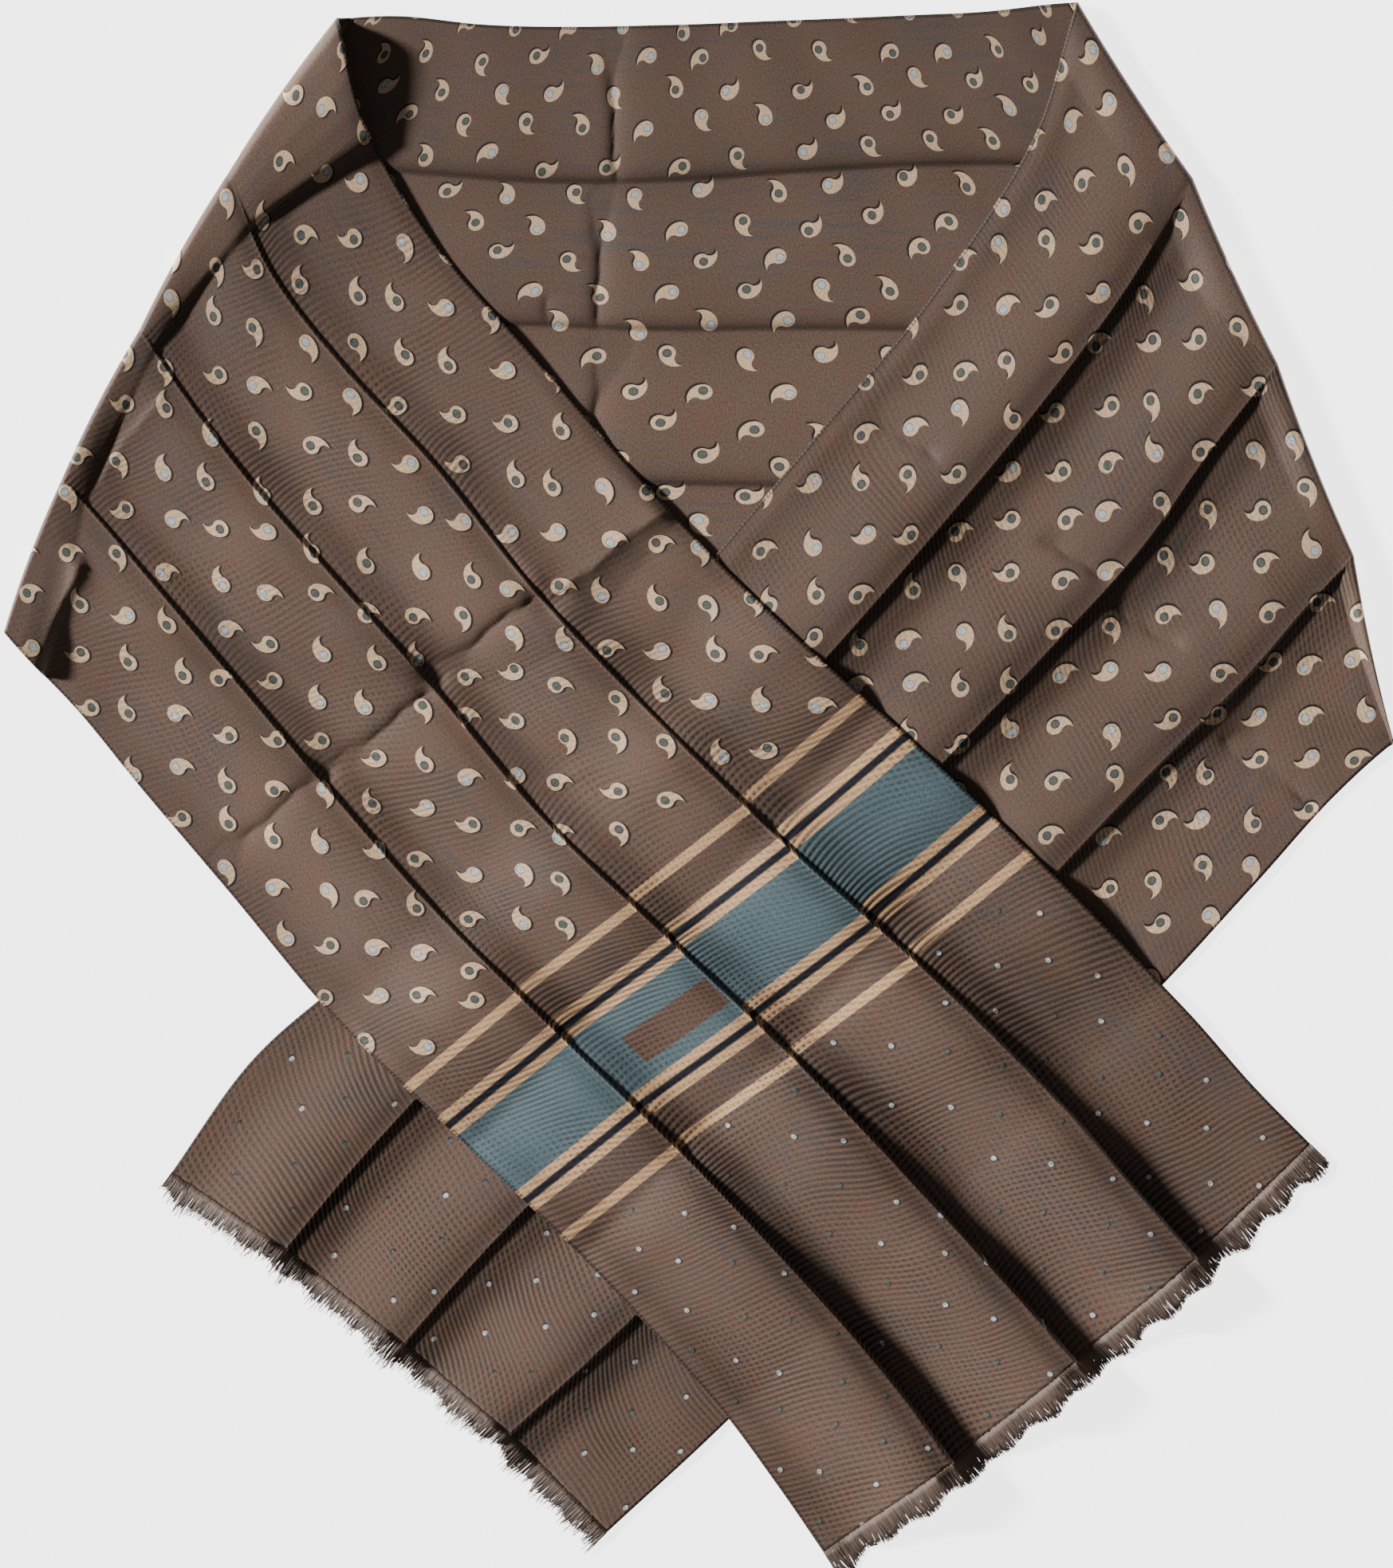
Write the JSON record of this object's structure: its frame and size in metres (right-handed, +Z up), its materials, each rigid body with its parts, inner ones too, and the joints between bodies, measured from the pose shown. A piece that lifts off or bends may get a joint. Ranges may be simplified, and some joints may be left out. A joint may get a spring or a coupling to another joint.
{
  "type": "fringed shawl",
  "caption": "Long pleated cloth shawl laid flat in a crossed wrap, with striped and dotted ends and a short fringe.",
  "frame": {"origin": "centre of the footprint, on the surface that the shawl lies on", "axes": "+X towards the fold of the under stretch, +Y towards the back edge, +Z up from the surface"},
  "size_m": [0.662, 0.7501, 0.017],
  "materials": {
    "printed_silk": "printed woven silk with a soft sheen",
    "fringe_thread": "loose warp threads"
  },
  "bodies": {
    "root": {"back_stretch": "printed_silk", "under_stretch": "printed_silk", "over_stretch": "printed_silk", "under_fringe": "fringe_thread", "over_fringe": "fringe_thread"}
  },
  "joints": []
}
